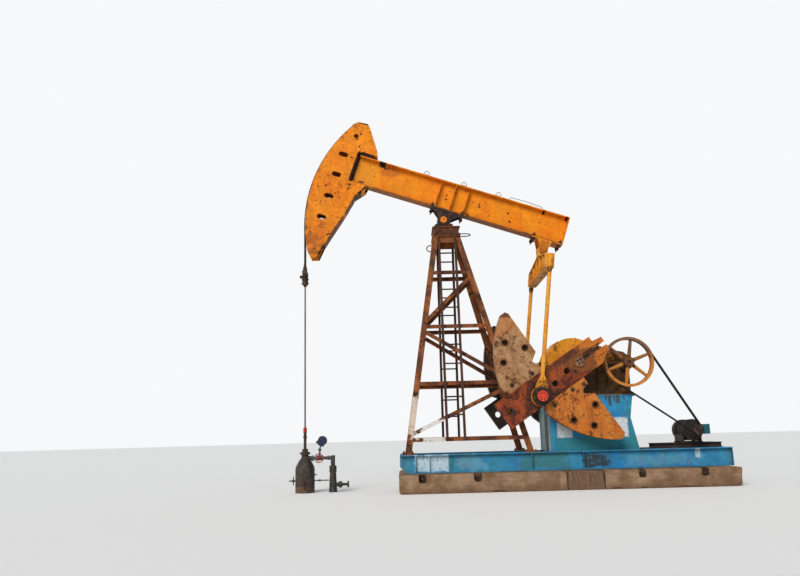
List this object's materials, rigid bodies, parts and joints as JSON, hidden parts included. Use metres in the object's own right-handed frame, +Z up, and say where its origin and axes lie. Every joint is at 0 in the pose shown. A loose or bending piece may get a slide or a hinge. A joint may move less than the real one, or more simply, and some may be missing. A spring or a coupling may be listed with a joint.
{
  "type": "beam pumping unit",
  "caption": "Conventional beam pumping unit with horsehead, lattice post, twin cranks with counterweights, gear reducer, belt drive and wellhead",
  "frame": {"origin": "on the foundation's underside at ground level, straight under the saddle bearing's axis", "axes": "+X runs from the well to the motor, -Y is the side with the sheave, +Z is up"},
  "size_m": [8.9003, 2.652, 8.1063],
  "materials": {
    "concrete": "rough weathered concrete",
    "timber": "weathered timber",
    "blue_paint": "worn blue and teal paint with whitewash",
    "rust_steel": "rusty primer, worn to bare rust",
    "orange_paint": "faded orange paint with rust spots",
    "red_paint": "worn red paint over rust",
    "tan_paint": "faded tan paint",
    "yellow_paint": "faded yellow paint",
    "dark_iron": "oily dark iron",
    "black_paint": "worn black paint",
    "bright_steel": "polished steel rod",
    "wire_rope": "greased wire rope",
    "belt_rubber": "worn belt rubber"
  },
  "bodies": {
    "base": {"foundation_blocks": "concrete", "timber_packing": "timber", "skid_beams": "blue_paint", "skid_cross_members": "blue_paint", "post_legs": "rust_steel", "post_side_braces": "rust_steel", "post_cross_braces": "rust_steel", "post_cap": "rust_steel", "ladder_near": "black_paint", "ladder_far": "black_paint", "saddle_pillow_blocks": "dark_iron", "reducer_pedestal": "blue_paint", "reducer_housing": "dark_iron", "reducer_cover": "orange_paint", "motor_rails": "black_paint", "motor_body": "black_paint", "drive_belts": "belt_rubber", "casing_head": "dark_iron", "stuffing_box": "red_paint", "flow_arm": "dark_iron", "flow_riser": "dark_iron", "casing_valves": "dark_iron"},
    "crank": {"slow_shaft": "dark_iron", "crank_near": "red_paint", "crank_far": "black_paint", "weight_near_upper": "tan_paint", "weight_near_lower": "orange_paint", "weight_far_upper": "black_paint", "weight_far_lower": "black_paint"},
    "fast_shaft": {"sheave": "rust_steel", "input_shaft": "dark_iron", "brake_drum": "dark_iron"},
    "pulley": {"motor_pulley": "dark_iron"},
    "beam": {"walking_beam": "orange_paint", "horsehead": "orange_paint", "saddle_bracket": "dark_iron", "tail_bracket": "orange_paint", "beam_rail": "orange_paint", "bridle_wrap": "wire_rope"},
    "pitman": {"equalizer": "yellow_paint", "pitmans": "yellow_paint", "wrist_bearings": "red_paint"},
    "rod": {"polished_rod": "bright_steel", "carrier_bar": "dark_iron", "bridle_drop": "wire_rope"}
  },
  "joints": [
    {"name": "beam_rock", "type": "hinge", "parent": "base", "child": "beam", "pos_m": [0, 0, 5.69], "axis": [0, 1, 0], "range_deg": [-45, 12.3]},
    {"name": "rod_lift", "type": "slide", "parent": "base", "child": "rod", "axis": [0, 0, 1], "range_m": [-2.423, 0.677], "deforming": ["bridle_drop"]},
    {"name": "equalizer_swing", "type": "hinge", "parent": "beam", "child": "pitman", "pos_m": [2.15641, 0, 5.01095], "axis": [0, 1, 0], "range_deg": [-8.6, 30.41]},
    {"name": "crank_turn", "type": "hinge", "parent": "base", "child": "crank", "pos_m": [2.555, 0, 2.457], "axis": [0, 1, 0], "range_deg": [-33.61, 121.9]},
    {"name": "sheave_spin", "type": "hinge", "parent": "base", "child": "fast_shaft", "pos_m": [3.62, 0, 2.457], "axis": [0, 1, 0], "continuous": true},
    {"name": "pulley_spin", "type": "hinge", "parent": "base", "child": "pulley", "pos_m": [4.89, 0, 1.07], "axis": [0, 1, 0], "continuous": true}
  ],
  "couplings": [
    {"joint": "rod_lift", "follows": "beam_rock", "m_per_rad": 3.06},
    {"joint": "equalizer_swing", "follows": "beam_rock", "ratio": -0.667},
    {"joint": "crank_turn", "follows": "beam_rock", "ratio": -2.7},
    {"joint": "pulley_spin", "follows": "sheave_spin", "ratio": 5.939}
  ]
}
